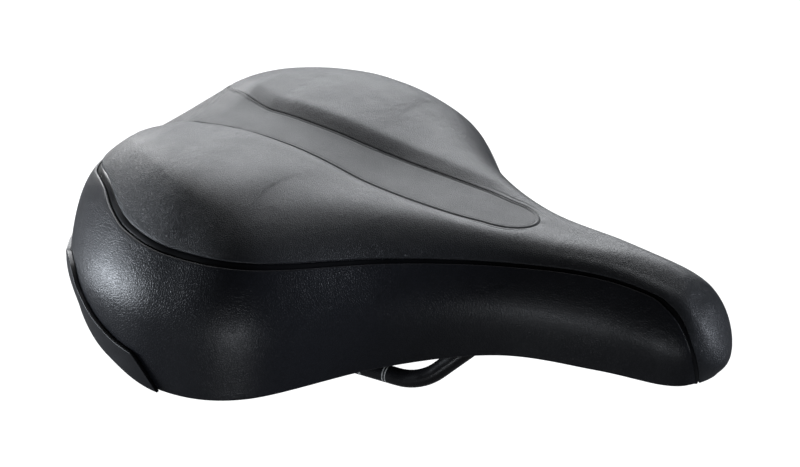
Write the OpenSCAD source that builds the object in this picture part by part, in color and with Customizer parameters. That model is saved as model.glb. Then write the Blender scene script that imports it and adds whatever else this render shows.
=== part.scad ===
// Wide comfort bicycle saddle on sprung rails.
// Origin: middle of the seatpost clamp zone, on the plane of the two rails.
// +X points to the nose, +Y to the rider's left, +Z up. All sizes in millimetres.

/* [Rails] */
// Radius of the round rail wire
rail_r = 3.5; // [3.4:0.05:3.5]
// Distance between the two rail centre lines in the clamp zone
rail_spacing = 44; // [43:0.5:45]
// Inside-of-bend radius class of the long rail bends, measured at the wire's centre line
rail_bend_r = 25; // [22:1:26]

/* [Suspension] */
// Outer radius of each rubber elastomer
elastomer_r = 14; // [12:0.5:15]
// Height of each elastomer at rest
elastomer_h = 18; // [16:0.5:18]
// Distance of each elastomer from the centre plane
elastomer_y = 38; // [37:0.5:40]
// Radius of the elastomer bolts
bolt_r = 3; // [2.5:0.1:3]

/* [Covers and shell] */
// Thickness of the synthetic leather covers
skin_t = 1.2; // [0.8:0.1:1.2]
// Wall thickness of the plastic base shell
shell_t = 2; // [1.6:0.1:2]
// Depth of the recess that the seam welt lies in
welt_recess = 0.5; // [0.2:0.1:0.6]
// Thickness of the plastic rear guard
guard_t = 1.5; // [1.2:0.1:1.8]

/* [Nose hinge] */
// Radial running clearance of the nose bar in its bush
hinge_clearance = 0.05; // [0.02:0.01:0.08]
// Wall thickness of the split nylon bush
bush_t = 1.5; // [1:0.1:1.6]

/* [Hidden] */
$fn = 48;

// Stations round the left half of the saddle, from the middle of the rear edge to the nose tip:
// [x, half width, bulge z, seam z, seam inset, bottom z, crest z, crest inset]
STATIONS = [
    [-110.5, 0, 44, 61, 4, 18.5, 67.3, 17.5],
    [-110, 30.5, 38, 60, 5.4, 18, 75.3, 22.5],
    [-101.8, 52.4, 36, 61, 6.2, 16.5, 80.6, 24],
    [-86.2, 72.2, 37, 64, 9.6, 15, 82.8, 25.6],
    [-61, 89.5, 38, 63, 10, 10.3, 83.1, 27],
    [-30, 96.5, 39, 61.5, 9, 4.6, 80.3, 24],
    [7, 88.8, 39, 62, 7, 8.2, 75.4, 21],
    [43, 49.6, 41, 60, 5, 15.7, 70.8, 15],
    [78, 27.5, 43, 59.5, 5, 21.5, 66.4, 10.5],
    [114, 19, 43, 60.5, 5, 22, 65.6, 9.5],
    [142.5, 17.5, 41, 56.5, 5, 23, 60.9, 10],
    [155.5, 12, 37, 49.5, 2.8, 25, 56.5, 9],
    [160.5, 0, 33, 44, 2.3, 26, 55, 8.5]];
last = len(STATIONS) - 1;
bottom_inset = 4.5;
// Height of the channel floor along the centre line
FLOOR = [[-93, 67.3], [-80, 75.5], [-65, 81], [-45, 81.5], [-25, 80], [15, 73.2], [55, 69.6],
    [78, 68.2], [95, 67.9], [114, 67.8], [130, 66.2], [141, 63.1], [147, 59.3], [150, 56.8], [152, 55]];
// Half width of the channel and its depth below the pads, by x
CHANNEL_HALF = [[-85, 35], [-80, 27], [-72, 21], [-62, 16.2], [-50, 12.7], [-28, 12], [-8, 12.5], [10, 14],
    [30, 14.5], [48, 14], [62, 12], [71, 9], [76, 5], [78.5, 0]];
// How far the floor's edges rise above its middle, where the channel opens out to the rear
CHANNEL_BOWL = [[-86, 6.8], [-80, 5], [-72, 3], [-62, 1.2], [-50, 0]];
CHANNEL_DEPTH = [[-86, 0], [-78, 1], [-65, 2.6], [-40, 3.3], [-10, 3.3], [15, 2.8], [40, 1.9], [60, 0.8],
    [76, 0]];
// The channel opens out to the rear edge behind this station and ends at that one
channel_open = 1.5;
channel_close = 8;
// Height of the seam between top and side covers, as a share of the section, by station
SEAM = [[0, 2.3], [2.4, 2.3], [3, 2.25], [3.6, 2.12], [4.2, 2.03], [5, 2], [9.7, 2], [10, 1.87], [10.4, 1.6],
    [10.7, 1.15], [10.9, 0.6], [11.1, 0], [11.3, -0.6]];
welt_half = 0.06;
welt_clear = 0.1;
seam_end = 11.1;
// Upper edge of the rear guard, as a share of the section, by station
GUARD_TOP = [[0, 0.88], [2.2, 0.94], [2.75, 1.08], [3.05, 1.02], [3.44, 0.71], [3.9, 0.49], [4.3, 0.41],
    [4.6, 0.4], [4.7, 0.32], [4.95, 0.02]];
guard_end = 4.95;
guard_gap = 0.3;
glue = 0.5;
shell_out = skin_t + glue;
shell_in = shell_out + shell_t;
pan_z = 53;
rows_per_station = 4;

// Catmull-Rom curve between b and c at share f
function spline(a, b, c, d, f) =
    0.5 * (2*b + (c - a)*f + (2*a - 5*b + 4*c - d)*f*f + (3*b - a - 3*c + d)*f*f*f);
function flip(r) = [for (k = [0:len(r) - 1]) k == 1 ? -r[k] : r[k]];
function row(i) = i < 0 ? flip(STATIONS[-i]) : i > last ? flip(STATIONS[2*last - i]) : STATIONS[i];
function section(t) =
    let (i = min(floor(t), last - 1)) spline(row(i - 1), row(i), row(i + 1), row(i + 2), t - i);
function plan(t) =
    t < 0 ? [section(-t)[0], -section(-t)[1]]
    : t > last ? [section(2*last - t)[0], -section(2*last - t)[1]]
    : [section(t)[0], section(t)[1]];
// Unit vector that points into the saddle, square to its outline
function inward(t) =
    let (d = plan(t + 0.05) - plan(t - 0.05)) t == 0 ? [1, 0] : t == last ? [-1, 0] : [d[1], -d[0]] / norm(d);
function level(t, inset, z) = let (p = plan(t) + inward(t)*inset) [p[0], p[1], z];
// Outer surface at station t: v 0 is the bottom edge, 1 the bulge, 2 the shoulder, 3 the crest
function outer(t, v) =
    let (s = section(t), b = level(t, bottom_inset, s[5]), m = level(t, 0, s[2]),
        h = level(t, s[4], s[3]), c = level(t, s[7], s[6]), e = c - h,
        k = [b + (b - m)*0.6, b, m, h, c, c + [e[0], e[1], e[2]*0.2]], i = min(floor(v), 2))
    spline(k[i], k[i + 1], k[i + 2], k[i + 3], v - i);
function ease(f) = let (g = max(0, min(1, f))) g*g*(3 - 2*g);
// The same surface moved in by a depth: sideways low down, downwards on top
function below(t, v, depth) =
    let (a = 90*ease((v - 1.3)/1.7), n = inward(t))
    outer(t, v) + [n[0]*depth*cos(a), n[1]*depth*cos(a), -depth*sin(a)];
function clamped(q, low, high) = max(low, min(high, q));

// Centre line and channel
function crest(t) = let (s = section(t)) level(t, s[7], s[6]);
function edge_share(t) =
    let (c = crest(t))
    t <= channel_open ? 1 : t >= channel_close ? 0 : min(1, lookup(c[0], CHANNEL_HALF)/c[1]);
function spine(t) = let (x = crest(t)[0]) [x, 0, t == 0 || t == last ? crest(t)[2] : lookup(x, FLOOR)];
function floor_edge(t) =
    t <= channel_open ? crest(t)
    : let (k = edge_share(t), c = crest(t)) [c[0], c[1]*k, spine(t)[2] + lookup(c[0], CHANNEL_BOWL)];
function channel_depth(t) = t <= channel_open || t >= channel_close ? 0 : lookup(crest(t)[0], CHANNEL_DEPTH);
function pad_edge(t) = floor_edge(t) + [0, 0, channel_depth(t)];
function dome(t) =
    t <= channel_open ? crest(t)
    : let (c = crest(t), e = pad_edge(t)) (c + e)/2 + [0, 0, min(3, (c[1] - e[1])*0.06)];
function down(p, d) = [p[0], p[1], p[2] - d];
function mirrored(p) = [p[0], -p[1], p[2]];
function centred(t, p) = t == 0 || t == last ? [p[0], 0, p[2]] : p;
// A whole row from left to right, from the left half's points with the centre point last
function across(t, half) =
    [for (p = half) centred(t, p), for (k = [len(half) - 2:-1:0]) centred(t, mirrored(half[k]))];
stations = [for (i = [0:last*rows_per_station]) i/rows_per_station];

// Closed solid between two matching grids of points, over the cells that keep() accepts.
// With joined ends, the first and last rows lie on the centre plane and close on themselves.
module slab(top, bottom, keep = function (i, j) true, joined = false) {
    n = len(top);
    m = len(top[0]);
    function at(i, j) = i*m + j;
    function low(i, j) = n*m + i*m + j;
    function kept(i, j) = i >= 0 && j >= 0 && i < n - 1 && j < m - 1 && keep(i, j);
    function wall(p, q, pp, qq) = [[p, q, qq], [p, qq, pp]];
    // The diagonal of each cell runs the way that leaves no flat triangle on the centre plane
    function crossed(i, j) = joined && (j < (m - 1)/2) == (i < (n - 1)/2);
    function cell(a, b, c, d, other) = other ? [[a, d, b], [d, c, b]] : [[a, d, c], [a, c, b]];
    function turned(f) = [for (t = f) [t[0], t[2], t[1]]];
    faces = [for (i = [0:n - 2]) for (j = [0:m - 2]) if (kept(i, j))
        each concat(
            cell(at(i, j), at(i, j + 1), at(i + 1, j + 1), at(i + 1, j), crossed(i, j)),
            turned(cell(low(i, j), low(i, j + 1), low(i + 1, j + 1), low(i + 1, j), crossed(i, j))),
            kept(i, j - 1) ? [] : wall(at(i + 1, j), at(i, j), low(i + 1, j), low(i, j)),
            kept(i, j + 1) ? [] : wall(at(i, j + 1), at(i + 1, j + 1), low(i, j + 1), low(i + 1, j + 1)),
            kept(i - 1, j) || (joined && i == 0) ? []
                : wall(at(i, j), at(i, j + 1), low(i, j), low(i, j + 1)),
            kept(i + 1, j) || (joined && i == n - 2) ? []
                : wall(at(i + 1, j + 1), at(i + 1, j), low(i + 1, j + 1), low(i + 1, j)))];
    points = concat([for (r = top) each r], [for (r = bottom) each r]);
    solid = [for (f = faces)
        if (points[f[0]] != points[f[1]] && points[f[1]] != points[f[2]] && points[f[0]] != points[f[2]]) f];
    polyhedron(points = points, faces = solid, convexity = 8);
}

// Round wire through a list of corner points, bent to a radius at each inner one.
// Bends draw down by a hair, and the straights lap into them, so the whole wire is one solid.
bend_draw = 0.02;
lap = 0.1;
function unit(a) = a/norm(a);
module wire_straight(a, b, r) {
    d = b - a;
    translate(a)
        rotate([0, acos(d[2]/norm(d)), atan2(d[1], d[0])])
            cylinder(r = r, h = norm(d));
}
module wire_bend(start, d1, side, bend_r, angle, r) {
    u = -side;
    w = cross(u, d1);
    c = start + side*bend_r;
    multmatrix([[u[0], d1[0], w[0], c[0]], [u[1], d1[1], w[1], c[1]],
        [u[2], d1[2], w[2], c[2]], [0, 0, 0, 1]])
        rotate_extrude(angle = angle)
            translate([bend_r, 0])
                circle(r = r - bend_draw);
}
function turn(p, k) = let (a = unit(p[k] - p[k - 1]), b = unit(p[k + 1] - p[k])) acos(clamped(a*b, -1, 1));
function setback(p, radii, k) = radii[k]*tan(turn(p, k)/2);
function straight_end(p, radii, k) = k == 0 || k == len(p) - 1 ? 0 : setback(p, radii, k) - lap;
module wire(p, radii, r) {
    for (k = [0:len(p) - 2]) {
        d = unit(p[k + 1] - p[k]);
        wire_straight(p[k] + d*straight_end(p, radii, k), p[k + 1] - d*straight_end(p, radii, k + 1), r);
    }
    for (k = [1:len(p) - 2]) {
        a = unit(p[k] - p[k - 1]);
        b = unit(p[k + 1] - p[k]);
        wire_bend(p[k] - a*setback(p, radii, k), a, unit(b - a*(a*b)), radii[k], turn(p, k), r);
    }
}
module both_sides() {
    children();
    mirror([0, 1, 0])
        children();
}

// Places of the running gear
rail_y = rail_spacing/2;
bridge_x = -78;
tube_z = 18;
tube_y = 24;
tube_r = 5.6;
tube_ends = [-92, -75];
plate_z = 22;
plate_t = 3;
elastomer_z = plate_z + plate_t;
cup_z = elastomer_z + elastomer_h;
pan_under = pan_z - shell_t;
hinge_x = 124;
hinge_z = 34;
nose_leg_y = 8.6;
nose_bend_r = 5;
bar_half = nose_leg_y - nose_bend_r;
block_half = bar_half + 0.1;
LEFT_RAIL = [[tube_ends[0], tube_y, tube_z], [-60, tube_y, tube_z], [-42.1, rail_y, 0], [42, rail_y, 0],
    [77, 14.5, hinge_z], [hinge_x, nose_leg_y, hinge_z]];
LEFT_BENDS = [0, rail_bend_r, rail_bend_r, rail_bend_r, rail_bend_r, nose_bend_r];

// One wire: two rails joined by a short bar in the nose, which the saddle hinges on
module rail_wire() {
    back = [len(LEFT_RAIL) - 1:-1:0];
    color("#17181a")
        wire(concat(LEFT_RAIL, [for (k = back) mirrored(LEFT_RAIL[k])]),
            concat(LEFT_BENDS, [for (k = back) LEFT_BENDS[k]]), rail_r, $fn = 24);
}

module rear_bridge() {
    color("#2a2b2d")
        difference() {
            union() {
                translate([bridge_x - 11, -elastomer_y, plate_z])
                    cube([22, 2*elastomer_y, plate_t]);
                both_sides()
                    translate([bridge_x, elastomer_y, plate_z])
                        cylinder(r = elastomer_r + 1, h = plate_t);
                both_sides()
                    translate([tube_ends[0], tube_y, tube_z])
                        rotate([0, 90, 0])
                            cylinder(r = tube_r, h = tube_ends[1] - tube_ends[0]);
            }
            both_sides()
                translate([bridge_x, elastomer_y, plate_z - 1])
                    cylinder(r = bolt_r + 1.4, h = plate_t + 2);
            both_sides()
                translate([tube_ends[0] - 1, tube_y, tube_z])
                    rotate([0, 90, 0])
                        cylinder(r = rail_r, h = tube_ends[1] - tube_ends[0] + 2);
        }
}

module elastomer(side) {
    groove = 2.5;
    color("#3a3a3c")
        translate([bridge_x, side*elastomer_y, elastomer_z])
            rotate_extrude()
                polygon([[bolt_r + 2, 0], [elastomer_r, 0], [elastomer_r, elastomer_h/2 - groove],
                    [elastomer_r - groove, elastomer_h/2], [elastomer_r, elastomer_h/2 + groove],
                    [elastomer_r, elastomer_h], [bolt_r + 2, elastomer_h]]);
}
module elastomer_left() {
    elastomer(1);
}
module elastomer_right() {
    elastomer(-1);
}

// Base shell: skirt and flat pan. The pan's rim sits where the section reaches its height.
function pan_height(t) = min(pan_z, section(t)[3] - 3);
function rim_share(t) = let (s = section(t)) 1 + clamped((pan_height(t) - s[2])/(s[3] - s[2]), 0.2, 0.95);
function rim(t, depth, z) = let (p = below(t, rim_share(t), depth)) [p[0], p[1], z];
function pan_share(t, depth) =
    let (p = rim(t, depth, 0), c = crest(t)) [(p[0] + c[0])/2, (p[1] + c[1])/2];
function shell_half(t, depth, drop) =
    let (top = rim_share(t), z = pan_height(t) - drop, q = pan_share(t, depth))
    [for (k = [0:4]) let (p = below(t, top*k/5, depth)) [p[0], p[1], min(p[2], z - 0.5*(5 - k))],
        rim(t, depth, z), [q[0], q[1], z], [crest(t)[0], crest(t)[1], z], [spine(t)[0], 0, z]];
module base_shell() {
    color("#1b1c1e")
        slab([for (t = stations) across(t, shell_half(t, shell_out, 0))],
            [for (t = stations) across(t, shell_half(t, shell_in, shell_t))], joined = true);
}

// Foam: from the pan up to the underside of the covers
function foam_top(t) =
    let (low = rim_share(t) + 0.1, e = pad_edge(t), f = floor_edge(t), d = channel_depth(t),
        s = skin_t + glue)
    [for (k = [0:4]) let (p = below(t, low + (3 - low)*k/5, s)) [p[0], p[1], max(p[2], pan_height(t) + 1)],
        down(crest(t), s), down(dome(t), s), down(e, max(s, d + glue)), down(f, s), down(spine(t), s)];
function foam_bottom(t) = [for (p = foam_top(t)) [p[0], p[1], pan_height(t) + glue]];
module foam_pad() {
    color("#55585c")
        slab([for (t = stations) across(t, foam_top(t))],
            [for (t = stations) across(t, foam_bottom(t))], joined = true);
}

// Top cover: two pads joined in front of the channel
seam_gap = 0.01;
function seam_high(t) = clamped(lookup(t - welt_half, SEAM) + welt_half + seam_gap, 0, 3);
function seam_low(t) = clamped(lookup(t + welt_half, SEAM) - welt_half - seam_gap, 0, 3);
top_columns = 8;
function cover_half(t, depth) =
    let (s = seam_high(t))
    [for (k = [0:top_columns - 1]) below(t, s + (3 - s)*k/top_columns, depth),
        down(crest(t), depth), down(dome(t), depth),
        depth == 0 ? pad_edge(t) : down(pad_edge(t), max(depth, channel_depth(t))), down(spine(t), depth)];
edge_column = top_columns + 2;
module cover_top() {
    pads = function (i, j) i >= channel_close*rows_per_station
        || (i >= channel_open*rows_per_station && (j < edge_column || j > edge_column + 1));
    color("#4a4d51")
        slab([for (t = stations) across(t, cover_half(t, 0))],
            [for (t = stations) across(t, cover_half(t, skin_t))], pads, joined = true);
}

// Centre strip: the floor of the channel and the rear edge that it opens out to
function strip_half(t, depth) =
    let (s = seam_high(t))
    [for (k = [0:top_columns - 1]) below(t, s + (3 - s)*k/top_columns, depth),
        down(crest(t), depth), down(floor_edge(t), depth), down(spine(t), depth)];
module cover_channel() {
    rows = [for (t = stations) if (t <= channel_close) t];
    strip = function (i, j) i < channel_open*rows_per_station || (j > edge_column - 2 && j < edge_column + 1);
    color("#45484c")
        slab([for (t = rows) across(t, strip_half(t, 0))],
            [for (t = rows) across(t, strip_half(t, skin_t))], strip, joined = true);
}

// Side covers, from the bottom edge to the seam
side_columns = 10;
seam_rows = [for (t = stations) if (t < seam_end) t, seam_end];
function side_grid(depth) =
    [for (t = seam_rows)
        [for (k = [0:side_columns]) centred(t, below(t, seam_low(t)*k/side_columns, depth))]];
module cover_side_left() {
    color("#1f2126")
        slab(side_grid(0), side_grid(skin_t));
}
module cover_side_right() {
    mirror([0, 1, 0])
        cover_side_left();
}

// Welt: glossy strip sunk between the covers, from nose to nose round the rear
function welt_grid(depth) =
    [for (i = [1 - len(seam_rows):len(seam_rows) - 1]) let (t = seam_rows[abs(i)])
        let (low = clamped(lookup(t + welt_half, SEAM) - welt_half, 0, 3),
            high = clamped(lookup(t - welt_half, SEAM) + welt_half, 0, 3))
        [for (v = [low, (low + high)/2, high])
            let (p = centred(t, below(t, v, depth))) i < 0 ? mirrored(p) : p]];
module seam_welt() {
    color("#08090a")
        slab(welt_grid(welt_recess), welt_grid(skin_t - welt_clear));
}

// Rear guard: thin plastic bumper round the lower rear
guard_rows = 40;
guard_columns = 6;
function guard_grid(depth) =
    [for (i = [-guard_rows:guard_rows]) let (t = guard_end*abs(i)/guard_rows)
        [for (k = [0:guard_columns])
            let (p = centred(t, below(t, lookup(t, GUARD_TOP)*k/guard_columns, depth)))
            i < 0 ? mirrored(p) : p]];
module rear_guard() {
    color("#131416")
        slab(guard_grid(-guard_gap - guard_t), guard_grid(-guard_gap));
}
guard_screw_at = [1, 2.6];
guard_screw_v = 0.55;
module guard_screws() {
    color("#6f7275")
        both_sides()
            for (t = guard_screw_at) {
                n = inward(t);
                translate(below(t, guard_screw_v, -guard_gap - 1))
                    rotate([0, 90, atan2(n[1], n[0])]) {
                        cylinder(r = 1.4, h = shell_in + guard_gap + 1);
                        translate([0, 0, shell_in + guard_gap + 1.4])
                            cylinder(r = 3.2, h = 1.6);
                        cylinder(r = 1.4, h = shell_in + guard_gap + 2);
                    }
            }
}

// Nose hinge: flanged block under the pan, split bush and cap
flange_t = 4;
flange_ends = [106, 141];
block_ends = [110, 138];
bush_r = rail_r + hinge_clearance + bush_t;
cap_under = 3.4;
screw_x = [115, 133];
module nose_socket() {
    color("#202123")
        difference() {
            union() {
                translate([flange_ends[0], -9, pan_under - flange_t])
                    cube([flange_ends[1] - flange_ends[0], 18, flange_t]);
                translate([block_ends[0], -block_half, hinge_z])
                    cube([block_ends[1] - block_ends[0], 2*block_half, pan_under - hinge_z]);
            }
            translate([hinge_x, -block_half - 1, hinge_z])
                rotate([-90, 0, 0])
                    cylinder(r = bush_r, h = 2*block_half + 2);
            for (x = screw_x)
                translate([x, 0, hinge_z - 1])
                    cylinder(r = 1.5, h = 11);
            rivet_places()
                translate([0, 0, pan_under - flange_t - 1])
                    cylinder(r = 1.5, h = flange_t + 2);
        }
}
module rivet_places() {
    for (x = [flange_ends[0] + 3, flange_ends[1] - 3])
        for (y = [-6.5, 6.5])
            translate([x, y, 0])
                children();
}
module nose_rivets() {
    color("#8d9093")
        rivet_places()
            translate([0, 0, pan_under - flange_t - 1.2]) {
                cylinder(r = 2.4, h = 1.2);
                cylinder(r = 1.5, h = flange_t + 1.2);
            }
}
module nose_cap() {
    color("#202123")
        difference() {
            translate([block_ends[0], -block_half, hinge_z - bush_r - cap_under])
                cube([block_ends[1] - block_ends[0], 2*block_half, bush_r + cap_under]);
            translate([hinge_x, -block_half - 1, hinge_z])
                rotate([-90, 0, 0])
                    cylinder(r = bush_r, h = 2*block_half + 2);
            for (x = screw_x)
                translate([x, 0, hinge_z - bush_r - cap_under - 1])
                    cylinder(r = 1.7, h = bush_r + cap_under + 2);
        }
}
module nose_bush() {
    color("#d8d5cc")
        difference() {
            translate([hinge_x, -block_half, hinge_z])
                rotate([-90, 0, 0])
                    cylinder(r = bush_r, h = 2*block_half);
            translate([hinge_x, -block_half - 1, hinge_z])
                rotate([-90, 0, 0])
                    cylinder(r = rail_r + hinge_clearance, h = 2*block_half + 2);
            translate([hinge_x - bush_r - 1, -block_half - 1, hinge_z - 0.1])
                cube([2*bush_r + 2, 2*block_half + 2, 0.2]);
        }
}
module nose_cap_screws() {
    color("#8d9093")
        for (x = screw_x)
            translate([x, 0, hinge_z - bush_r - cap_under - 2.2]) {
                cylinder(r = 3, h = 2.2);
                cylinder(r = 1.5, h = bush_r + cap_under + 2.2 + 9);
            }
}

// Elastomer cups under the pan, with the bolts that hold saddle and bridge together
cup_r = elastomer_r + 2;
cup_rivet_out = 2.5;
module elastomer_cups() {
    color("#26272a")
        both_sides()
            translate([bridge_x, elastomer_y, 0])
                difference() {
                    union() {
                        translate([0, 0, cup_z])
                            cylinder(r = cup_r, h = pan_under - cup_z);
                        translate([-cup_r - 5, -5, pan_under - 2.5])
                            cube([2*cup_r + 10, 10, 2.5]);
                    }
                    translate([0, 0, cup_z - 1])
                        cylinder(r = bolt_r, h = pan_under - cup_z);
                    for (x = [-cup_r - cup_rivet_out, cup_r + cup_rivet_out])
                        translate([x, 0, pan_under - 4])
                            cylinder(r = 1.5, h = 6);
                }
}
module cup_rivets() {
    color("#8d9093")
        both_sides()
            for (x = [-cup_r - cup_rivet_out, cup_r + cup_rivet_out])
                translate([bridge_x + x, elastomer_y, pan_under - 3.7]) {
                    cylinder(r = 2.4, h = 1.2);
                    cylinder(r = 1.5, h = 3.7);
                }
}
washer_t = 1.5;
washer_z = plate_z - 0.3 - washer_t;
head_h = 4;
module elastomer_bolts() {
    color("#8d9093")
        both_sides()
            translate([bridge_x, elastomer_y, washer_z - head_h]) {
                cylinder(r = 5, h = head_h, $fn = 6);
                cylinder(r = bolt_r, h = head_h + pan_under - 1 - washer_z);
            }
}
module bolt_washers() {
    color("#a5a8ab")
        both_sides()
            translate([bridge_x, elastomer_y, washer_z])
                difference() {
                    cylinder(r = 6.8, h = washer_t);
                    translate([0, 0, -1])
                        cylinder(r = bolt_r, h = washer_t + 2);
                }
}

rail_wire();
rear_bridge();
elastomer_left();
elastomer_right();
base_shell();
foam_pad();
cover_top();
cover_channel();
cover_side_left();
cover_side_right();
seam_welt();
rear_guard();
guard_screws();
nose_socket();
nose_cap();
nose_bush();
nose_cap_screws();
nose_rivets();
elastomer_cups();
cup_rivets();
elastomer_bolts();
bolt_washers();
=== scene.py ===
"""Looks of the comfort saddle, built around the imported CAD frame. Shapes are worked out in millimetres."""

import math

import bmesh
import bpy
import numpy as np
from mathutils import Matrix, Vector


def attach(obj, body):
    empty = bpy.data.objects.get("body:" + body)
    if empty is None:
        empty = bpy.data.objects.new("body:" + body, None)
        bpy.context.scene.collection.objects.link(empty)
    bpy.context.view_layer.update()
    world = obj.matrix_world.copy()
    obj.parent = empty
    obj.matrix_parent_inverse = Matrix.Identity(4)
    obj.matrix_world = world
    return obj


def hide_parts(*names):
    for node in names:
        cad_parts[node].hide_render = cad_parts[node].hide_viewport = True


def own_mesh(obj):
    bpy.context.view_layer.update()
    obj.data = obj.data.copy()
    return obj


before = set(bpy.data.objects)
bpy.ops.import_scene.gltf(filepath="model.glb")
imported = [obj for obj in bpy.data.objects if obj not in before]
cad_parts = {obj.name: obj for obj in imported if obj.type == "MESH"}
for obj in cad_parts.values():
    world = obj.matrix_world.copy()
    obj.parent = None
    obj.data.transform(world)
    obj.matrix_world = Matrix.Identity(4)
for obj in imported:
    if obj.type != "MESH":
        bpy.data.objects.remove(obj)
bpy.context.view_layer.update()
MM = 0.001

# ---------------------------------------------------------------- outline and sections
# Stations round the left half, rear centre to nose tip:
# x, half width, bulge z, seam z, seam inset, bottom z, crest z, crest inset
STATIONS = np.array([
    [-110.5, 0, 44, 61, 4, 18.5, 67.3, 17.5],
    [-110, 30.5, 38, 60, 5.4, 18, 75.3, 22.5],
    [-101.8, 52.4, 36, 61, 6.2, 16.5, 80.6, 24],
    [-86.2, 72.2, 37, 64, 9.6, 15, 82.8, 25.6],
    [-61, 89.5, 38, 63, 10, 10.3, 83.1, 27],
    [-30, 96.5, 39, 61.5, 9, 4.6, 80.3, 24],
    [7, 88.8, 39, 62, 7, 8.2, 75.4, 21],
    [43, 49.6, 41, 60, 5, 15.7, 70.8, 15],
    [78, 27.5, 43, 59.5, 5, 21.5, 66.4, 10.5],
    [114, 19, 43, 60.5, 5, 22, 65.6, 9.5],
    [142.5, 17.5, 41, 56.5, 5, 23, 60.9, 10],
    [155.5, 12, 37, 49.5, 2.8, 25, 56.5, 9],
    [160.5, 0, 33, 44, 2.3, 26, 55, 8.5]], float)
LAST = len(STATIONS) - 1
BOTTOM_INSET = 4.5
# Height of the channel floor along the centre line, by x
FLOOR = np.array([[-93, 67.3], [-80, 75.5], [-65, 81], [-45, 81.5], [-25, 80], [15, 73.2], [55, 69.6],
                  [78, 68.2], [95, 67.9], [114, 67.8], [130, 66.2], [141, 63.1], [147, 59.3], [150, 56.8],
                  [152, 55]], float)
# Half width of the channel by x, up to where its round tip starts, and the tip's x
CHANNEL_HALF = np.array([[-85, 35], [-80, 27], [-72, 21], [-62, 16.2], [-50, 12.7], [-28, 12], [-8, 12.5],
                         [10, 14], [30, 14.5], [48, 14], [62, 12]], float)
CHANNEL_TIP = 78.5
# How far the floor's edges rise above its middle, and the pads' edge above the floor, by x
CHANNEL_BOWL = np.array([[-86, 6.8], [-80, 5], [-72, 3], [-62, 1.2], [-50, 0]], float)
CHANNEL_DEPTH = np.array([[-86, 0], [-78, 1], [-65, 2.6], [-40, 3.3], [-10, 3.3], [15, 2.8], [40, 1.9],
                          [60, 0.8], [76, 0]], float)
# Width of the channel's sloping wall and how softly it meets the pad, as a share of that width
WALL_WIDTH, WALL_ROUND = 6.4, 0.14
# Height of the seam and of the guard's upper edge, as a share of the section, by station
SEAM = np.array([[0, 2.3], [2.4, 2.3], [3, 2.25], [3.6, 2.12], [4.2, 2.03], [5, 2], [9.7, 2], [10, 1.87],
                 [10.4, 1.6], [10.7, 1.15], [10.9, 0.6], [11.1, 0], [11.3, -0.6]], float)
GUARD_TOP = np.array([[0, 0.88], [2.2, 0.94], [2.75, 1.08], [3.05, 1.02], [3.44, 0.71], [3.9, 0.49],
                      [4.3, 0.41], [4.6, 0.4], [4.7, 0.32], [4.95, 0.02]], float)
WELT_HALF = 0.06
SEAM_END = 11.1
SKIN = 1.2
PAN_Z = 53
SHOULDER, CREST = 2.0, 3.0


def spline(a, b, c, d, f):
    """Catmull-Rom curve between b and c at share f."""
    bend = (2 * a - 5 * b + 4 * c - d) * f * f
    return 0.5 * (2 * b + (c - a) * f + bend + (3 * b - a - 3 * c + d) * f ** 3)


def flipped(row):
    out = row.copy()
    out[1] *= -1
    return out


ROWS = np.vstack([flipped(STATIONS[1]), STATIONS, flipped(STATIONS[-2])])


def section(t):
    """The stations' values at any station number."""
    t = np.asarray(t, float)
    i = np.clip(np.floor(t).astype(int), 0, LAST - 1)
    return spline(ROWS[i], ROWS[i + 1], ROWS[i + 2], ROWS[i + 3], (t - i)[..., None])


def plan(t):
    """Outline seen from above, carried on past both ends of the left half."""
    t = np.asarray(t, float)
    folded = np.where(t < 0, -t, np.where(t > LAST, 2 * LAST - t, t))
    p = section(folded)[..., :2].copy()
    p[..., 1] *= np.where((t < 0) | (t > LAST), -1, 1)
    return p


def inward(t):
    """Unit vector that points into the saddle, square to its outline."""
    d = plan(t + 0.05) - plan(t - 0.05)
    n = np.stack([d[..., 1], -d[..., 0]], -1)
    return n / np.linalg.norm(n, axis=-1, keepdims=True)


def ease(f):
    f = np.clip(f, 0, 1)
    return f * f * (3 - 2 * f)


def smooth(table, x):
    """Curve through a table's points without overshoot."""
    xs, ys = table[:, 0], table[:, 1]
    h, d = np.diff(xs), np.diff(ys) / np.diff(xs)
    m = np.zeros(len(xs))
    m[0], m[-1] = d[0], d[-1]
    both = d[:-1] * d[1:] > 0
    m[1:-1][both] = 2 * d[:-1][both] * d[1:][both] / (d[:-1] + d[1:])[both]
    x = np.clip(x, xs[0], xs[-1])
    k = np.clip(np.searchsorted(xs, x) - 1, 0, len(h) - 1)
    f = (x - xs[k]) / h[k]
    return ((1 + 2 * f) * (1 - f) ** 2 * ys[k] + f * (1 - f) ** 2 * h[k] * m[k]
            + f * f * (3 - 2 * f) * ys[k + 1] + f * f * (f - 1) * h[k] * m[k + 1])


def outer(t, v):
    """Outer surface: v 0 is the bottom edge, 1 the bulge, 2 the shoulder, 3 the crest."""
    t, v = np.broadcast_arrays(np.asarray(t, float), np.asarray(v, float))
    s, n, p = section(t), inward(t), plan(t)

    def level(inset, z):
        return np.concatenate([p + n * np.asarray(inset)[..., None], z[..., None]], -1)

    b, m = level(BOTTOM_INSET + 0 * t, s[..., 5]), level(0 * t, s[..., 2])
    h, c = level(s[..., 4], s[..., 3]), level(s[..., 7], s[..., 6])
    k = np.stack([b + (b - m) * 0.6, b, m, h, c, c + (c - h) * np.array([1, 1, 0.2])])
    i = np.clip(np.floor(v).astype(int), 0, 2)
    q = [np.take_along_axis(k, (i + o)[None, ..., None], 0)[0] for o in range(4)]
    return spline(*q, (v - i)[..., None])


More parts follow.
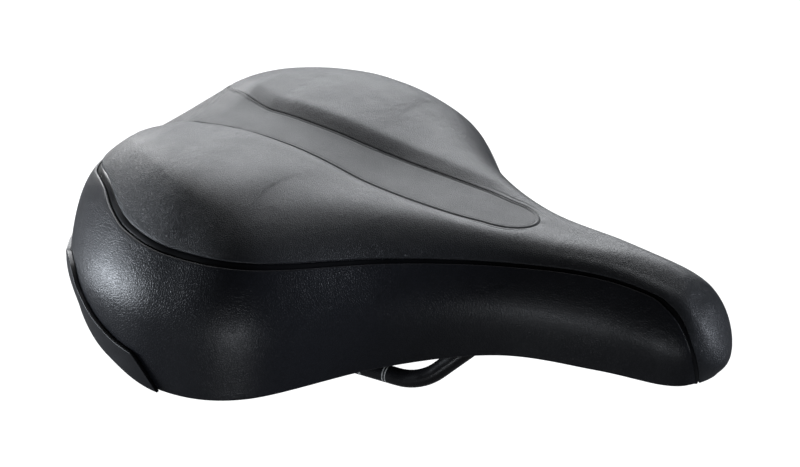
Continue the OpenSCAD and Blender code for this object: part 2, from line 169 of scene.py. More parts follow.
def below(t, v, depth):
    """The outer surface moved in by a depth: sideways low down, downwards on top."""
    t, v, depth = np.broadcast_arrays(*[np.asarray(q, float) for q in (t, v, depth)])
    a = math.radians(90) * ease((v - 1.3) / 1.7)
    n = inward(t)
    move = np.stack([n[..., 0] * depth * np.cos(a), n[..., 1] * depth * np.cos(a), -depth * np.sin(a)], -1)
    return outer(t, v) + move


def seam_high(t):
    return np.clip(smooth(SEAM, t - WELT_HALF) + WELT_HALF, 0, 3)


def seam_low(t):
    return np.clip(smooth(SEAM, t + WELT_HALF) - WELT_HALF, 0, 3)


# ---------------------------------------------------------------- upper skin
# Share of a section that one millimetre of its surface takes up, roughly
V_PER_MM = 1 / 25
TIP_LENGTH = CHANNEL_TIP - CHANNEL_HALF[-1, 0]


def channel_half(x):
    """Half width of the channel, ending in an elliptic tip."""
    f = np.clip((x - CHANNEL_HALF[-1, 0]) / TIP_LENGTH, 0, 1)
    return smooth(CHANNEL_HALF, x) * np.sqrt(1 - f * f)


def tip_station():
    """Station whose crest lies level with the channel's tip."""
    low, high = 7.0, 9.0
    for _ in range(60):
        mid = (low + high) / 2
        low, high = (mid, high) if outer(mid, CREST)[0] < CHANNEL_TIP else (low, mid)
    return low


T_OPEN, T_TIP = 1.5, tip_station()
T_NEAR_TIP = 7.8
LEFT_T = np.unique(np.concatenate([
    np.linspace(0, T_OPEN, 34), np.linspace(T_OPEN, 7, 142), np.linspace(7, T_NEAR_TIP, 28),
    T_TIP - (T_TIP - T_NEAR_TIP) * np.linspace(1, 0, 40) ** 2,
    np.linspace(T_TIP, 9.5, 34), np.linspace(9.5, LAST, 96)]))
LEFT_T[np.argmin(abs(LEFT_T - T_TIP))] = T_TIP
LEFT_T = np.unique(LEFT_T)


def near_end(n, sharp):
    """Shares 0 to 1, closer together towards 1."""
    f = np.linspace(0, 1, n)
    return 1 - (1 - f) ** sharp


WING_U = near_end(40, 2.2)
STRIP_W = 1 - near_end(26, 1.9)[::-1]
ROLL = np.radians([0, 22, 45, 68, 90])
SHOULDER_COLUMNS = 20


def roll_size(t):
    """Radius of the turned-in leather edges, finer where the seam runs down the nose."""
    return 0.6 - 0.38 * ease((t - 9.8) / 0.8)


def frame_points(t):
    """Crest, top of the channel's edge, floor at that edge, centre line and channel depth at stations t."""
    c = outer(t, CREST)
    spine = np.stack([c[:, 0], 0 * t, smooth(FLOOR, c[:, 0])], -1)
    share = np.minimum(1, channel_half(c[:, 0]) / np.maximum(c[:, 1], 0.01))
    share = np.where(t <= T_OPEN, 1, np.where(t >= T_TIP, 0, share))
    w = ease((t - T_OPEN) / 0.6)
    floor_z = (1 - w) * c[:, 2] + w * (spine[:, 2] + smooth(CHANNEL_BOWL, c[:, 0]))
    floor_edge = np.stack([c[:, 0], c[:, 1] * share, floor_z], -1)
    depth = np.where((t <= T_OPEN) | (t >= T_TIP), 0, smooth(CHANNEL_DEPTH, c[:, 0]))
    top_edge = floor_edge + np.stack([0 * t, 0 * t, depth], -1)
    return c, top_edge, floor_edge, spine, depth


def upper_half(t):
    """Left half of the upper skin: rows are stations, columns run from the seam to the centre line."""
    s, r = seam_high(t), roll_size(t)
    dv = r * V_PER_MM
    cols = [below(t, s + dv * (1 - math.cos(a)), r * (1 - math.sin(a))) for a in ROLL[:-1]]
    cols += [outer(t, s + dv + (CREST - s - dv) * f)
             for f in np.linspace(0, 1, SHOULDER_COLUMNS)[:-1]]
    crest_column = len(cols)
    c, top_edge, floor_edge, spine, depth = frame_points(t)
    # Each pad leaves the crest with slope m0 and reaches its inner edge with slope m1
    rise = (c - outer(t, SHOULDER)) * np.array([1, 1, 0.6])
    across = top_edge - c
    length = np.linalg.norm(across[:, :2], axis=1)
    run = np.linalg.norm(rise[:, :2], axis=1)
    m0 = rise / run[:, None] * length[:, None]
    lift = np.maximum(m0[:, 2], 1e-6)
    crown = 0.18 + 0.14 * ease((t - 3.2) / 4) - 0.18 * ease((t - 8) / 1.5)
    climb = across[:, 2] + np.sqrt(across[:, 2] ** 2 + 4)
    m0 *= np.clip((climb + crown * length) / lift, 0.2, 1)[:, None]
    m1 = across * np.array([1, 1, 0])
    m1[:, 2] = -0.02 * length * depth
    # Sine of the angle between pad and edge, so that the wall keeps its width where they meet slantwise
    ahead = np.gradient(top_edge[:, :2], axis=0)
    skew = abs(across[:, 0] * ahead[:, 1] - across[:, 1] * ahead[:, 0])
    skew = np.clip(skew / np.maximum(length * np.linalg.norm(ahead, axis=1), 1e-9), 0.2, 1)
    for u in WING_U:
        h = [2 * u ** 3 - 3 * u * u + 1, u ** 3 - 2 * u * u + u, -2 * u ** 3 + 3 * u * u, u ** 3 - u * u]
        p = h[0] * c + h[1] * m0 + h[2] * top_edge + h[3] * m1
        gap = np.linalg.norm((p - top_edge)[:, :2], axis=1) * skew
        p[:, 2] -= depth * WALL_ROUND * np.log1p(np.exp((1 - gap / WALL_WIDTH) / WALL_ROUND))
        cols.append(p)
    edge_column = len(cols) - 1
    for w in STRIP_W[1:]:
        p = spine + (floor_edge - spine) * np.array([1, 1, 0]) * (1 - w)
        p[:, 2] += (floor_edge - spine)[:, 2] * (1 - w) ** 2
        cols.append(p)
    return np.stack(cols, 1), crest_column, edge_column


def mirrored(grid):
    return grid * np.array([1, -1, 1])


def ring(half):
    """Both halves of a grid, from the nose round the right side and the rear to the nose again."""
    return np.concatenate([mirrored(half[::-1][:-1]), half])


UPPER, CREST_COLUMN, EDGE_COLUMN = upper_half(LEFT_T)
UPPER[0, :, 1] = 0
UPPER[-1, :, 1] = 0


def outline():
    """The strip's outline on the left, from the seam at the rear up to the crest and along the channel."""
    i = int(np.argmin(abs(LEFT_T - T_OPEN)))
    tip = int(np.argmin(abs(LEFT_T - T_TIP)))
    return np.concatenate([UPPER[i, :CREST_COLUMN], UPPER[i:tip + 1, EDGE_COLUMN]])


def distance_to(line, points):
    """Shortest distance from each point to a line of points."""
    a, b = line[:-1], line[1:]
    best = np.full(len(points), 1e9)
    for p, q in zip(a, b):
        d = q - p
        f = np.clip(((points - p) @ d) / max(d @ d, 1e-12), 0, 1)
        best = np.minimum(best, np.linalg.norm(points - p - f[:, None] * d, axis=1))
    return best


def swell(d, place, width):
    """Smooth bump of height 1 at a distance from the crease."""
    return np.exp(-((d - place) / width) ** 2)


def press_lines(grid):
    """Crease where strip and pads meet, a fine bead beside it on the strip, a faint line outside its tip."""
    d = distance_to(outline(), grid.reshape(-1, 3)).reshape(grid.shape[:2])
    column = np.arange(grid.shape[1])[None, :]
    row_t = LEFT_T[:, None]
    on_strip = (column > EDGE_COLUMN) | (row_t < T_OPEN)
    near_tip = ease((grid[..., 0] - 40) / 20)
    bead = 0.26 * swell(d, 0.95, 0.34) - 0.12 * swell(d, 1.8, 0.3)
    outside_line = -0.16 * near_tip * swell(d, 1.7, 0.34)
    out = grid.copy()
    out[..., 2] += -0.24 * swell(d, 0, 0.3) + np.where(on_strip, bead, outside_line)
    return out


UPPER = press_lines(UPPER)

# ---------------------------------------------------------------- meshes


SHARP_DEG = 42
# Points closer than this, in millimetres, are one point
WELD = 5e-4


def mesh_object(name, verts, faces):
    """Clean mesh from points in millimetres, smooth except at sharp edges."""
    mesh = bpy.data.meshes.new(name)
    mesh.from_pydata([tuple(v) for v in (np.asarray(verts) * MM)], [], faces)
    bm = bmesh.new()
    bm.from_mesh(mesh)
    bmesh.ops.remove_doubles(bm, verts=bm.verts, dist=2e-6)
    bmesh.ops.dissolve_degenerate(bm, edges=bm.edges, dist=1e-6)
    bmesh.ops.recalc_face_normals(bm, faces=bm.faces)
    bm.to_mesh(mesh)
    bm.free()
    mesh.polygons.foreach_set("use_smooth", [True] * len(mesh.polygons))
    mesh.set_sharp_from_angle(angle=math.radians(SHARP_DEG))
    obj = bpy.data.objects.new(name, mesh)
    bpy.context.scene.collection.objects.link(obj)
    return obj


def shell_mesh(name, top, low, keep=None):
    """Closed piece between two matching grids, over the cells kept, with walls along every open edge."""
    n, m = top.shape[:2]
    keep = np.ones((n - 1, m - 1), bool) if keep is None else keep
    points = top.reshape(-1, 3)
    cells = np.round(points / WELD).astype(np.int64)
    _, first, back = np.unique(cells, axis=0, return_index=True, return_inverse=True)
    same = first[back.ravel()]
    faces, edges = [], {}
    for i, j in zip(*np.nonzero(keep)):
        quad = [same[i * m + j], same[i * m + j + 1], same[(i + 1) * m + j + 1], same[(i + 1) * m + j]]
        face = [int(p) for k, p in enumerate(quad) if p != quad[k - 1]]
        if len(set(face)) < 3 or len(set(face)) < len(face):
            continue
        faces.append(face)
        for k in range(len(face)):
            a, b = face[k - 1], face[k]
            key = (min(a, b), max(a, b))
            edges[key] = None if key in edges else (a, b)
    count = n * m
    walls = [[b, a, a + count, b + count] for a, b in (e for e in edges.values() if e)]
    lower = [[p + count for p in reversed(f)] for f in faces]
    verts = np.concatenate([points, low.reshape(-1, 3)])
    used = np.unique(np.concatenate([np.ravel(f) for f in (faces + walls + lower)]))
    index = {int(p): k for k, p in enumerate(used)}
    faces = [[index[p] for p in f] for f in faces + walls + lower]
    return mesh_object(name, verts[used], faces)


def lowered(grid, depth):
    return grid - np.array([0, 0, depth])


def upper_under(t, top, depth):
    """Underside of the upper skin: square to the surface at the sides, straight down on top."""
    s, r = seam_high(t), roll_size(t)
    dv = r * V_PER_MM
    low = lowered(top, depth)
    for j in range(CREST_COLUMN):
        f = max(0, j - len(ROLL) + 1) / (SHOULDER_COLUMNS - 1)
        low[:, j] = below(t, s + dv + (CREST - s - dv) * f, depth)
    low[0, :, 1] = 0
    low[-1, :, 1] = 0
    return low


def wrapped_quads(bands, rings, sides):
    """Quads between neighbouring rings of points, each ring closed on itself."""
    return [[i * sides + j, i * sides + (j + 1) % sides,
             (i + 1) % rings * sides + (j + 1) % sides, (i + 1) % rings * sides + j]
            for i in range(bands) for j in range(sides)]


def sweep_tube(name, path, radius, sides, closed=False):
    """Round tube along a path, with flat ends unless it is closed."""
    path = np.asarray(path, float)
    ahead = np.roll(path, -1, 0) - np.roll(path, 1, 0)
    if not closed:
        ahead[0], ahead[-1] = path[1] - path[0], path[-1] - path[-2]
    ahead /= np.linalg.norm(ahead, axis=1)[:, None]
    side = np.cross(ahead[0], [0, 0, 1.0])
    side /= np.linalg.norm(side)
    rings = []
    for p, d in zip(path, ahead):
        side = side - d * (side @ d)
        side /= np.linalg.norm(side)
        up = np.cross(side, d)
        a = np.arange(sides) * 2 * math.pi / sides
        rings.append(p + radius * (np.cos(a)[:, None] * side + np.sin(a)[:, None] * up))
    n = len(rings)
    faces = wrapped_quads(n if closed else n - 1, n, sides)
    if not closed:
        faces += [list(range(sides)), [(n - 1) * sides + j for j in range(sides)]]
    return mesh_object(name, np.concatenate(rings), faces)


def lathe(name, profile, centre):
    """Closed profile of (radius, height) points turned round an upright axis."""
    profile, segments = np.asarray(profile, float), 64
    a = np.arange(segments) * 2 * math.pi / segments
    k = len(profile)
    verts = [[centre[0] + r * math.cos(q), centre[1] + r * math.sin(q), z] for q in a for r, z in profile]
    return mesh_object(name, verts, wrapped_quads(segments, segments, k))


# ---------------------------------------------------------------- materials


class Graph:
    """A node material with a Principled shader."""

    def __init__(self, name, **values):
        self.material = bpy.data.materials.new(name)
        self.material.use_nodes = True
        self.tree = self.material.node_tree
        self.tree.nodes.clear()
        self.shader = self.add("BsdfPrincipled")
        self.set(self.shader, values)
        out = self.add("OutputMaterial")
        self.tree.links.new(self.shader.outputs[0], out.inputs[0])
        self.place = self.add("TexCoord").outputs["Object"]

    def set(self, node, values):
        for key, value in values.items():
            socket = node.inputs[key.replace("_", " ") if isinstance(key, str) else key]
            if isinstance(value, bpy.types.NodeSocket):
                self.tree.links.new(value, socket)
            else:
                socket.default_value = value

    def add(self, kind, sockets=None, **props):
        node = self.tree.nodes.new("ShaderNode" + kind)
        for key, value in props.items():
            setattr(node, key, value)
        self.set(node, sockets or {})
        return node

    def noise(self, size_mm, detail=3.0, rough=0.55, place=None):
        return self.add("TexNoise", {"Vector": place or self.place, "Scale": 1000 / size_mm, "Detail": detail,
                                     "Roughness": rough}).outputs["Fac"]

    def cells(self, size_mm, feature="F1", place=None):
        return self.add("TexVoronoi", {"Vector": place or self.place, "Scale": 1000 / size_mm},
                        feature=feature).outputs["Distance"]

    def stretch(self, scale):
        return self.add("Mapping", {"Vector": self.place, "Scale": scale}).outputs[0]

    def math(self, operation, a, b=0.0):
        return self.add("Math", {0: a, 1: b}, operation=operation).outputs[0]

    def span(self, value, low, high, to_low, to_high):
        return self.add("MapRange", {"Value": value, "From Min": low, "From Max": high, "To Min": to_low,
                                     "To Max": to_high}, interpolation_type="SMOOTHSTEP").outputs[0]

    def mix(self, factor, a, b):
        node = self.add("Mix", data_type="RGBA")
        for k, value in ((0, factor), (6, a), (7, b)):
            if isinstance(value, bpy.types.NodeSocket):
                self.tree.links.new(value, node.inputs[k])
            else:
                node.inputs[k].default_value = value if k == 0 else (*value, 1)
        return node.outputs[2]

    def bump(self, height, depth_mm, below_it=None):
        node = self.add("Bump", {"Height": height, "Distance": depth_mm * MM, "Strength": 1.0})
        if below_it is not None:
            self.tree.links.new(below_it, node.inputs["Normal"])
        return node.outputs[0]

    def finish(self, **sockets):
        self.set(self.shader, sockets)
        return self.material


def leather(name, dark, light, rough, grain_mm, grain_depth, wrinkle, specular=0.5):
    """Synthetic leather: pebbled grain between fine creases, painted shade darkening those creases, soft
    wrinkles and slightly uneven gloss.
    """
    g = Graph(name)
    warp = g.add("TexNoise", {"Vector": g.place, "Scale": 500.0, "Detail": 2.0}).outputs["Color"]
    bent = g.add("VectorMath", {0: warp, 1: (0.0009, 0.0009, 0.0009)}, operation="MULTIPLY").outputs[0]
    place = g.add("VectorMath", {0: g.place, 1: bent}, operation="ADD").outputs[0]
    creases = g.span(g.cells(grain_mm, "DISTANCE_TO_EDGE", place), 0.0, 0.22, 0.0, 1.0)
    pores = g.noise(grain_mm * 0.35, 2.0)
    patch = g.span(g.noise(28.0, 2.0), 0.42, 0.62, 0.0, 1.0)
    folds = g.noise(2.4, 4.0, 0.6, g.stretch((1.0, 0.38, 1.0)))
    height = g.math("ADD", creases, g.math("MULTIPLY", pores, 0.35))
    soft = g.bump(g.math("MULTIPLY", folds, patch), wrinkle)
    fine = g.bump(height, grain_depth, soft)
    # Colour: random tone, plus painted shade that darkens the colour in the grain's creases.
    tone_and_crease_shade = g.math("ADD", g.math("MULTIPLY", g.noise(14.0, 3.0), 0.3), g.math("MULTIPLY", creases, 0.6))
    colour = g.mix(g.span(tone_and_crease_shade, 0.3, 0.9, 0.0, 1.0), dark, light)
    gloss = g.span(g.noise(9.0, 2.0), 0.3, 0.7, rough - 0.015, rough + 0.02)
    return g.finish(Base_Color=colour, Roughness=gloss, Normal=fine, Specular_IOR_Level=specular)


def plastic(name, dark, light, rough, texture_mm=0.5, texture_depth=0.02, specular=0.5):
    """Moulded plastic or paint: fine spark texture, faint flow marks and scuffs in its gloss."""
    g = Graph(name)
    fine = g.noise(texture_mm, 3.0, 0.65)
    flow = g.noise(9.0, 2.0, 0.5, g.stretch((0.4, 1.0, 1.0)))
    scuff = g.span(g.noise(1.6, 5.0, 0.7, g.stretch((0.25, 1.0, 1.0))), 0.6, 0.72, 0.0, 1.0)
    colour = g.mix(g.math("ADD", g.math("MULTIPLY", flow, 0.6), g.math("MULTIPLY", fine, 0.4)), dark, light)
    gloss = g.math("ADD", g.span(flow, 0.3, 0.7, rough - 0.03, rough + 0.04), g.math("MULTIPLY", scuff, 0.05))
    return g.finish(Base_Color=colour, Roughness=gloss, Normal=g.bump(fine, texture_depth),
                    Specular_IOR_Level=specular)


def rail_paint():
    """Gloss black coating with the clamp scale's thin white rings across the straights."""
    g = Graph("rail_paint")
    x = g.add("SeparateXYZ", {0: g.place}).outputs[0]

    def ring_at(mm, half_mm):
        off = g.math("ABSOLUTE", g.math("SUBTRACT", x, mm * MM))
        return g.span(off, half_mm * MM, half_mm * 1.6 * MM, 1.0, 0.0)

    rings = g.math("MAXIMUM", ring_at(16, 0.45), g.math("MAXIMUM", ring_at(26.6, 0.16), ring_at(27.8, 0.16)))
    for mm in (-28, -17, -6, 5):
        rings = g.math("MAXIMUM", rings, ring_at(mm, 0.16))
    worn = g.span(g.noise(1.1, 5.0, 0.7), 0.42, 0.6, 0.55, 1.0)
    rings = g.math("MULTIPLY", rings, worn)
    peel = g.noise(2.2, 2.0)
    base = g.mix(g.noise(5.0, 3.0), (0.006, 0.006, 0.007), (0.012, 0.012, 0.014))
    return g.finish(Base_Color=g.mix(rings, base, (0.75, 0.75, 0.74)), Normal=g.bump(peel, 0.012),
                    Roughness=g.span(g.noise(7.0, 4.0), 0.3, 0.7, 0.2, 0.3))


def steel(name):
    """Bright zinc plating with faint turning marks and a clouded gloss."""
    g = Graph(name, Metallic=1.0)
    cloud = g.noise(3.0, 4.0, 0.6)
    marks = g.noise(0.5, 2.0, 0.5, g.stretch((1.0, 1.0, 6.0)))
    colour = g.mix(cloud, (0.42, 0.43, 0.45), (0.62, 0.62, 0.6))
    return g.finish(Base_Color=colour, Normal=g.bump(marks, 0.01),
                    Roughness=g.span(cloud, 0.3, 0.7, 0.26, 0.42))


def foam_material():
    """Moulded polyurethane foam with open cells, their pits darkened by painted shade."""
    g = Graph("foam")
    pits_and_shade = g.span(g.cells(0.9), 0.15, 0.6, 0.0, 1.0)
    # The colour darkens in the cell pits: painted shade in the hollows.
    return g.finish(Base_Color=g.mix(pits_and_shade, (0.05, 0.052, 0.056), (0.09, 0.092, 0.097)), Roughness=0.95,
                    Normal=g.bump(pits_and_shade, 0.25))


MATERIALS = {
    "top_leather": leather("top_leather", (0.014, 0.0155, 0.0185), (0.022, 0.0242, 0.029), 0.45,
                           0.72, 0.045, 0.26),
    "strip_leather": leather("strip_leather", (0.013, 0.0145, 0.0165), (0.02, 0.0222, 0.0255), 0.5,
                             0.6, 0.035, 0.04, specular=0.4),
    "side_leather": leather("side_leather", (0.0058, 0.0068, 0.0105), (0.0092, 0.0107, 0.016), 0.39,
                            1.0, 0.038, 0.1),
    "welt": plastic("welt", (0.003, 0.0033, 0.0045), (0.005, 0.0055, 0.0075), 0.3, 1.2, 0.008, 0.35),
    "guard_plastic": plastic("guard_plastic", (0.0085, 0.0092, 0.0115), (0.0135, 0.0145, 0.018), 0.42,
                             0.45, 0.015),
    "shell_plastic": plastic("shell_plastic", (0.011, 0.011, 0.012), (0.018, 0.018, 0.019), 0.5, 0.6, 0.035),
    "nylon_black": plastic("nylon_black", (0.012, 0.012, 0.013), (0.02, 0.02, 0.021), 0.45, 0.6, 0.03),
    "nylon_white": plastic("nylon_white", (0.55, 0.53, 0.48), (0.68, 0.66, 0.6), 0.42, 0.7, 0.02),
    "bridge_paint": plastic("bridge_paint", (0.012, 0.012, 0.013), (0.022, 0.022, 0.023), 0.38, 0.8, 0.04),
    "elastomer": plastic("elastomer", (0.035, 0.035, 0.037), (0.055, 0.055, 0.058), 0.62, 0.9, 0.03, 0.35),
    "rail_paint": rail_paint(),
    "zinc_steel": steel("zinc_steel"),
    "foam": foam_material(),
}


def dress(obj, slot, body, stands_for=()):
    """Give a piece its material, its body and the CAD nodes that it replaces."""
    obj.data.materials.clear()
    obj.data.materials.append(MATERIALS[slot])
    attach(obj, body)
    if stands_for:
        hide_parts(*stands_for)
    return obj


# ---------------------------------------------------------------- covers
RING_T = np.concatenate([-LEFT_T[::-1][:-1], LEFT_T])
UNDER = upper_under(LEFT_T, UPPER, SKIN)
cell_t = abs((RING_T[1:] + RING_T[:-1]) / 2)[:, None]
cell_column = np.arange(UPPER.shape[1] - 1)[None, :]
pads = (cell_t > T_OPEN) & (cell_column < EDGE_COLUMN)
strip = (cell_t < T_OPEN) | ((cell_t < T_TIP) & (cell_column >= EDGE_COLUMN))
dress(shell_mesh("top_cover", ring(UPPER), ring(UNDER), pads), "top_leather", "saddle", ["cover_top"])
dress(shell_mesh("centre_strip", ring(UPPER), ring(UNDER), strip), "strip_leather", "saddle",
      ["cover_channel"])


def side_cover(name, sign, node):
    """Side cover from its turned-under bottom edge to its turned-in seam edge."""
    t = np.linspace(0, SEAM_END, 260)
    s, r, foot = seam_low(t), roll_size(t), 1.1
    dv, df = r * V_PER_MM, foot * V_PER_MM
    top, low = [], []
    for a in ROLL[:-1]:
        top.append(below(t, np.minimum(df * (1 - math.cos(a)), s), foot * (1 - math.sin(a))))
        low.append(below(t, np.minimum(df, s), SKIN))
    for f in np.linspace(0, 1, 34)[:-1]:
        v = np.minimum(df + np.maximum(s - dv - df, 0) * f, s)
        top.append(outer(t, v))
        low.append(below(t, v, SKIN))
    for a in ROLL[::-1]:
        top.append(below(t, np.maximum(s - dv * (1 - math.cos(a)), 0), r * (1 - math.sin(a))))
        low.append(below(t, np.maximum(s - dv, 0), SKIN))
    top, low = np.stack(top, 1), np.stack(low, 1)
    top[0, :, 1] = low[0, :, 1] = 0
    if sign < 0:
        top, low = mirrored(top), mirrored(low)
    return dress(shell_mesh(name, top, low), "side_leather", "saddle", [node])


side_cover("side_cover_left", 1, "cover_side_left")
side_cover("side_cover_right", -1, "cover_side_right")

# Welt: glossy band sunk between the covers, flush where it runs down the nose
WELT_ROOT = SKIN + 0.3
welt_t = np.linspace(0, SEAM_END, 260)
welt_depth = 0.95 - 0.87 * ease((welt_t - 9.7) / 0.8)
v_low, v_high = seam_low(welt_t), seam_high(welt_t)
across = np.linspace(0, 1, 11)
welt_top = np.stack([below(welt_t, v_low + (v_high - v_low) * f, welt_depth + 0.2 * abs(2 * f - 1) ** 3)
                     for f in across], 1)
welt_low = np.stack([below(welt_t, v_low + (v_high - v_low) * f, WELT_ROOT) for f in across], 1)
for grid in (welt_top, welt_low):
    grid[0, :, 1] = 0
dress(shell_mesh("welt_band", ring(welt_top), ring(welt_low)), "welt", "saddle", ["seam_welt"])

# Foam core under the covers and on the pan
FOAM_GAP = 0.5
core_t = np.unique(np.append(LEFT_T[::3], LEFT_T[-1]))
core_section = section(core_t)
core_pan = np.minimum(PAN_Z, core_section[:, 3] - 3)
core_rim = 1 + np.clip((core_pan - core_section[:, 2]) / (core_section[:, 3] - core_section[:, 2]), 0.2, 0.95)
core_upper, core_crest, _ = upper_half(core_t)
core_cols = []
for f in np.linspace(0, 1, 10)[:-1]:
    p = below(core_t, core_rim + (CREST - core_rim) * f, SKIN + 0.2)
    p[:, 2] = np.maximum(p[:, 2], core_pan + 0.7 + 2 * f)
    core_cols.append(p)
core_cols += [lowered(core_upper[:, j], SKIN + FOAM_GAP) for j in range(core_crest, core_upper.shape[1], 2)]
core_cols.append(lowered(core_upper[:, -1], SKIN + FOAM_GAP))
core_top = np.stack(core_cols, 1)
core_top[0, :, 1] = core_top[-1, :, 1] = 0
core_low = core_top.copy()
core_low[..., 2] = (core_pan + FOAM_GAP)[:, None]
foam_core = dress(shell_mesh("foam_core", ring(core_top), ring(core_low)), "foam", "saddle", ["foam_pad"])

# ---------------------------------------------------------------- rear guard and shell rim
GUARD_END, LIP = 4.95, 0.12
guard_t = np.linspace(0, GUARD_END, 240)
guard_v = smooth(GUARD_TOP, guard_t)
outside, inside, edge = -1.8, -0.3, 0.45
guard_dv = np.minimum(edge * V_PER_MM, guard_v / 3)
top, low = [], []
for a in ROLL[:-1]:
    top.append(below(guard_t, guard_dv * (1 - math.cos(a)), outside + edge * (1 - math.sin(a))))
    low.append(below(guard_t, 0 * guard_v, inside))
for f in np.linspace(0, 1, 26)[:-1]:
    v = guard_dv + (guard_v - 2 * guard_dv) * f
    lip = LIP * np.exp(-((guard_v - v) / V_PER_MM / 1.4) ** 2)
    top.append(below(guard_t, v, outside - lip * ease(guard_v / 0.2)))
    low.append(below(guard_t, v, inside))
for a in ROLL[::-1]:
    turned = outside - LIP + (edge + LIP) * (1 - math.sin(a))
    top.append(below(guard_t, guard_v - guard_dv * (1 - math.cos(a)), turned))
    low.append(below(guard_t, guard_v, inside))
guard_top, guard_low = np.stack(top, 1), np.stack(low, 1)
for grid in (guard_top, guard_low):
    grid[0, :, 1] = 0
dress(shell_mesh("guard_bumper", ring(guard_top), ring(guard_low)), "guard_plastic", "saddle", ["rear_guard"])

rim_t = np.concatenate([-np.linspace(0, LAST, 260)[::-1][:-1], np.linspace(0, LAST, 260)[:-1]])
rim_path = below(abs(rim_t), 0.0, 1.9)
rim_path[:, 1] *= np.where(rim_t < 0, -1, 1)
rim_path[:, 2] += 0.45
dress(sweep_tube("shell_rim", rim_path, 0.8, 12, closed=True), "shell_plastic", "saddle")

# ---------------------------------------------------------------- rails and elastomers
RAIL_R = 3.5
LEFT_RAIL = np.array([[-92, 24, 18], [-60, 24, 18], [-42.1, 22, 0], [42, 22, 0], [77, 14.5, 34],
                      [124, 8.6, 34]], float)
LEFT_BENDS = [0, 25, 25, 25, 25, 5]


def wire_path(corners, radii):
    """Straights and round bends through a list of corners."""
    path = [corners[0]]
    for k in range(1, len(corners) - 1):
        a, b = corners[k] - corners[k - 1], corners[k + 1] - corners[k]
        a, b = a / np.linalg.norm(a), b / np.linalg.norm(b)
        turn = math.acos(np.clip(a @ b, -1, 1))
        start = corners[k] - a * radii[k] * math.tan(turn / 2)
        side = b - a * (a @ b)
        side /= np.linalg.norm(side)
        centre = start + side * radii[k]
        steps = max(6, int(math.degrees(turn) / 4))
        path += [centre + radii[k] * (math.sin(q) * a - math.cos(q) * side)
                 for q in np.linspace(0, turn, steps)]
    path.append(corners[-1])
    out = [path[0]]
    for p in path[1:]:
        gap = np.linalg.norm(p - out[-1])
        if gap < 1e-3:
            continue
        pieces = max(1, int(gap / 6))
        out += [out[-1] + (p - out[-1]) * (k + 1) / pieces for k in range(pieces)]
    return out


corners = np.concatenate([LEFT_RAIL, mirrored(LEFT_RAIL[::-1])])
rail = sweep_tube("rail_loop", wire_path(corners, LEFT_BENDS + LEFT_BENDS[::-1]), RAIL_R, 32)
dress(rail, "rail_paint", "rails", ["rail_wire"])

BRIDGE_X, PUCK_Y, PUCK_R, PUCK_Z, PUCK_H, BORE = -78, 38, 14, 25, 18, 5
for side_name, sign in (("left", 1), ("right", -1)):
    z = np.linspace(0, 1, 49)
    lobe = abs(np.sin(2 * math.pi * z)) ** 0.42
    radius = PUCK_R - 2.6 + 2.6 * lobe
    radius[0] = radius[-1] = PUCK_R - 1.6
    wall = [[r, PUCK_Z + PUCK_H * q] for r, q in zip(radius, z)]
    profile = [[BORE, PUCK_Z]] + wall + [[BORE, PUCK_Z + PUCK_H]]
    puck = lathe("puck_" + side_name, profile, (BRIDGE_X, sign * PUCK_Y))
    dress(puck, "elastomer", "rails", ["elastomer_" + side_name])
    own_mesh(puck)

# ---------------------------------------------------------------- carried-over CAD nodes
CARRIED = {
    "base_shell": "shell_plastic", "rear_bridge": "bridge_paint", "nose_socket": "nylon_black",
    "nose_cap": "nylon_black", "nose_bush": "nylon_white", "nose_cap_screws": "zinc_steel",
    "nose_rivets": "zinc_steel", "elastomer_cups": "nylon_black", "cup_rivets": "zinc_steel",
    "elastomer_bolts": "zinc_steel", "bolt_washers": "zinc_steel", "guard_screws": "zinc_steel"}
for node, slot in CARRIED.items():
    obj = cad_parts[node]
    for k in range(max(1, len(obj.material_slots))):
        if not obj.material_slots:
            obj.data.materials.append(MATERIALS[slot])
        obj.material_slots[k].material = MATERIALS[slot]

# ---------------------------------------------------------------- floor, light and camera
# Floor: pale where the camera sees it, dim in reflections, clear from below
floor_mesh = bpy.data.meshes.new("floor")
FLOOR_HALF, FLOOR_Z = 6.0, -0.12
floor_corners = [(FLOOR_HALF * x, FLOOR_HALF * y, FLOOR_Z) for x, y in ((-1, -1), (1, -1), (1, 1), (-1, 1))]
floor_mesh.from_pydata(floor_corners, [], [[0, 1, 2, 3]])
floor = bpy.data.objects.new("floor", floor_mesh)
bpy.context.scene.collection.objects.link(floor)
g = Graph("floor_paper")
tree = g.tree
emission = g.add("Emission", {"Color": (1, 1, 1, 1), "Strength": 0.82})
diffuse = g.add("BsdfDiffuse", {"Color": (0.3, 0.3, 0.3, 1)})
pale = g.add("AddShader")
tree.links.new(emission.outputs[0], pale.inputs[0])
tree.links.new(diffuse.outputs[0], pale.inputs[1])
dim = g.add("BsdfDiffuse", {"Color": (0.12, 0.12, 0.12, 1)})
clear = g.add("BsdfTransparent")
path = g.add("LightPath")
geometry = g.add("NewGeometry")
seen = g.add("MixShader", {0: path.outputs["Is Camera Ray"]})
tree.links.new(dim.outputs[0], seen.inputs[1])
tree.links.new(pale.outputs[0], seen.inputs[2])
sided = g.add("MixShader", {0: geometry.outputs["Backfacing"]})
tree.links.new(seen.outputs[0], sided.inputs[1])
tree.links.new(clear.outputs[0], sided.inputs[2])
output = next(n for n in tree.nodes if n.type == "OUTPUT_MATERIAL")
tree.links.new(sided.outputs[0], output.inputs[0])
tree.nodes.remove(g.shader)
floor_mesh.materials.append(g.material)

TARGET = Vector((0.03, 0, 0.04))


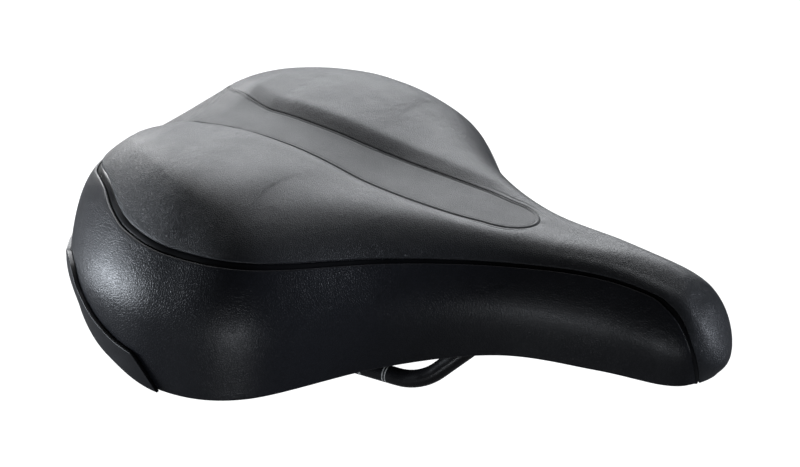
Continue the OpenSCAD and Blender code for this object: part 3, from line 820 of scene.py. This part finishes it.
def softbox(name, direction, distance, width, height, power, colour=(1, 1, 1)):
    """Rectangular light that faces the saddle from a direction, with sizes in metres and power in watts."""
    data = bpy.data.lights.new(name, "AREA")
    data.shape, data.size, data.size_y, data.energy, data.color = "RECTANGLE", width, height, power, colour
    lamp = bpy.data.objects.new(name, data)
    bpy.context.scene.collection.objects.link(lamp)
    back = Vector(direction).normalized()
    lamp.location = TARGET + back * distance
    lamp.rotation_mode = "QUATERNION"
    lamp.rotation_quaternion = back.to_track_quat("Z", "Y")
    lamp.visible_camera = False


softbox("light_behind", (-0.62, 0.66, 0.54), 1.5, 2.0, 1.1, 34, (0.95, 0.97, 1.0))
softbox("light_above", (0.1, 0.25, 1.0), 1.3, 1.2, 0.7, 1.5)
softbox("light_left", (-0.93, -0.37, -0.09), 1.1, 0.4, 0.2, 10.5, (0.86, 0.92, 1.0))
softbox("light_right", (0.89, 0.26, 0.2), 1.1, 0.2, 0.3, 7, (0.85, 0.9, 1.0))
softbox("light_front_low", (0.14, -0.88, -0.38), 0.38, 0.14, 0.06, 0.25, (0.9, 0.94, 1.0))
softbox("light_wing", (-0.86, 0.45, 0.2), 1.3, 0.5, 0.35, 3)
softbox("light_wall", (-0.47, 0.12, 0.87), 1.3, 0.4, 0.3, 1.5)

WORLD_STRENGTH = 0.022
world = bpy.data.worlds.new("studio")
bpy.context.scene.world = world
world.use_nodes = True
world.node_tree.nodes["Background"].inputs[0].default_value = (1, 1, 1, 1)
world.node_tree.nodes["Background"].inputs[1].default_value = WORLD_STRENGTH
bpy.context.scene.view_settings.view_transform = "Standard"

LENS = 138.8
AZIMUTH, ELEVATION, CAMERA_ROLL = math.radians(31), math.radians(23.5), math.radians(-1.5)
level = math.cos(ELEVATION)
back = Vector((math.sin(AZIMUTH) * level, -math.cos(AZIMUTH) * level, math.sin(ELEVATION)))
right = Vector((math.cos(AZIMUTH), math.sin(AZIMUTH), 0))
up = back.cross(right)
turn_cos, turn_sin = math.cos(CAMERA_ROLL), math.sin(CAMERA_ROLL)
right, up = right * turn_cos - up * turn_sin, right * turn_sin + up * turn_cos
camera_data = bpy.data.cameras.new("camera")
camera_data.sensor_width = 36
camera_data.lens = LENS
camera = bpy.data.objects.new("camera", camera_data)
bpy.context.scene.collection.objects.link(camera)
DISTANCE, SHIFT_LEFT, SHIFT_UP = 1.2, 0.0101, 0.0113
place = TARGET - right * SHIFT_LEFT + up * SHIFT_UP + back * DISTANCE
camera.matrix_world = Matrix.Translation(place) @ Matrix((right, up, back)).transposed().to_4x4()
bpy.context.scene.camera = camera
